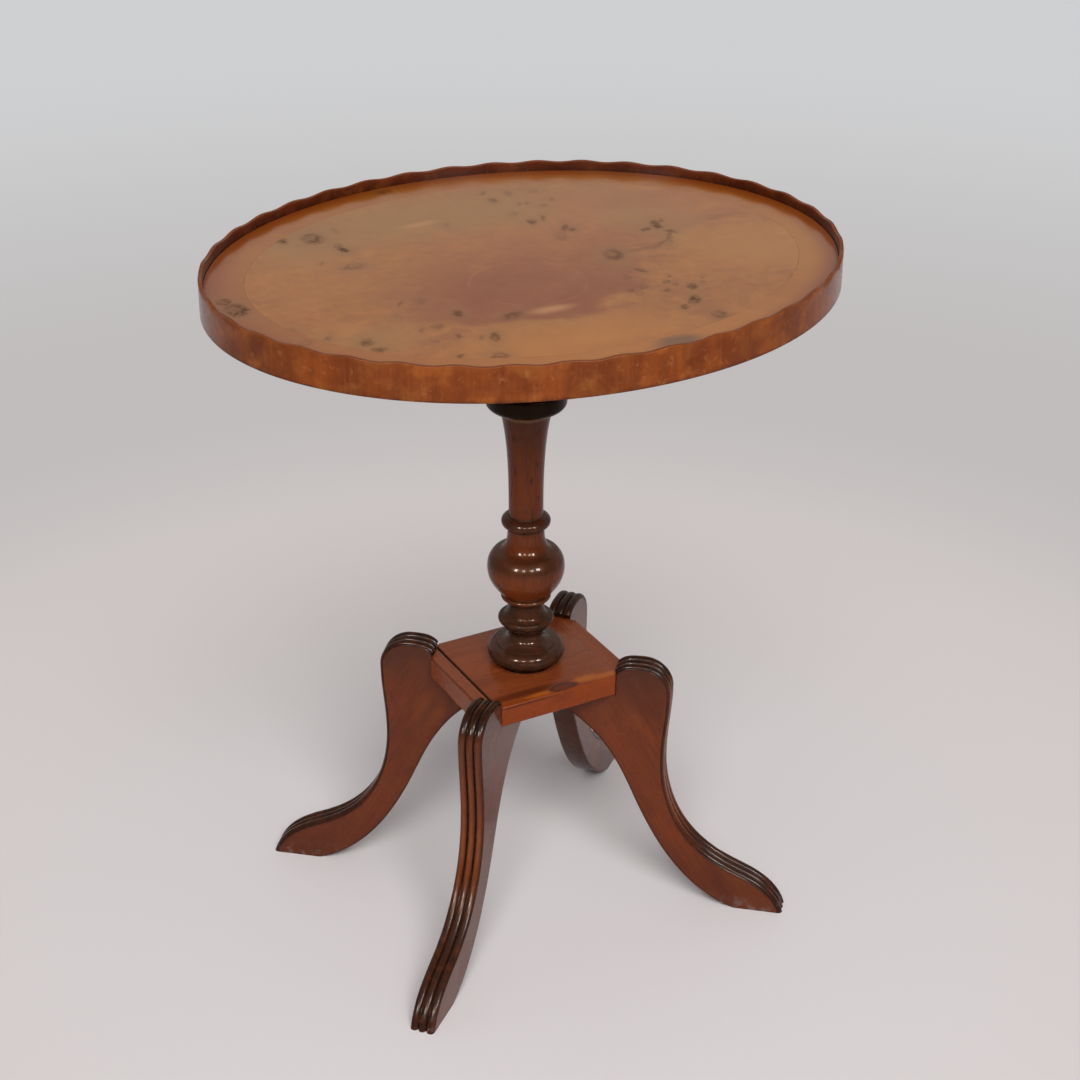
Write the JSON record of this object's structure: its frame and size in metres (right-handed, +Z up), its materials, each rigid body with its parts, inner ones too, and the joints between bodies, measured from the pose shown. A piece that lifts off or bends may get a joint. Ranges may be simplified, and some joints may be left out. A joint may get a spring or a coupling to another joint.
{
  "type": "wine table",
  "caption": "Oval wine table: a veneered tray top with a scalloped gallery on a turned pillar, a small chamfered platform and reeded sabre legs.",
  "frame": {"origin": "on the floor, below the pillar's axis, at the centre of the oval top's plan", "axes": "+Z up; +X along the length of the oval top; +Y along its width; the front leg points to -X and -Y"},
  "size_m": [0.458, 0.384, 0.5256],
  "materials": {
    "yew_field": "polished pippy yew veneer",
    "yew_crossband": "polished yew crossband veneer",
    "yew_rim_facing": "polished cross-grained yew facing",
    "gallery_strip": "polished dark strip",
    "backing_veneer": "stained balancing veneer",
    "board_core": "raw board",
    "mahogany": "dark polished mahogany",
    "platform_mahogany": "polished reddish mahogany",
    "block_beech": "stained beech",
    "dowel_beech": "raw beech",
    "screw_steel": "dull steel"
  },
  "bodies": {
    "root": {"top_field_veneer": "yew_field", "top_crossband": "yew_crossband", "gallery_facing": "yew_rim_facing", "gallery_strip": "gallery_strip", "top_backing_veneer": "backing_veneer", "top_board": "board_core", "pillar": "mahogany", "leg_front": "mahogany", "leg_right": "mahogany", "leg_back": "mahogany", "leg_left": "mahogany", "platform_board": "platform_mahogany", "platform_cleat_left": "platform_mahogany", "platform_cleat_right": "platform_mahogany", "top_block": "block_beech", "leg_dowel_front": "dowel_beech", "leg_dowel_right": "dowel_beech", "leg_dowel_back": "dowel_beech", "leg_dowel_left": "dowel_beech", "tenon_wedge": "dowel_beech", "leg_screw_front": "screw_steel", "leg_screw_right": "screw_steel", "leg_screw_back": "screw_steel", "leg_screw_left": "screw_steel", "block_screw_1": "screw_steel", "block_screw_2": "screw_steel", "block_screw_3": "screw_steel", "block_screw_4": "screw_steel"}
  },
  "joints": []
}
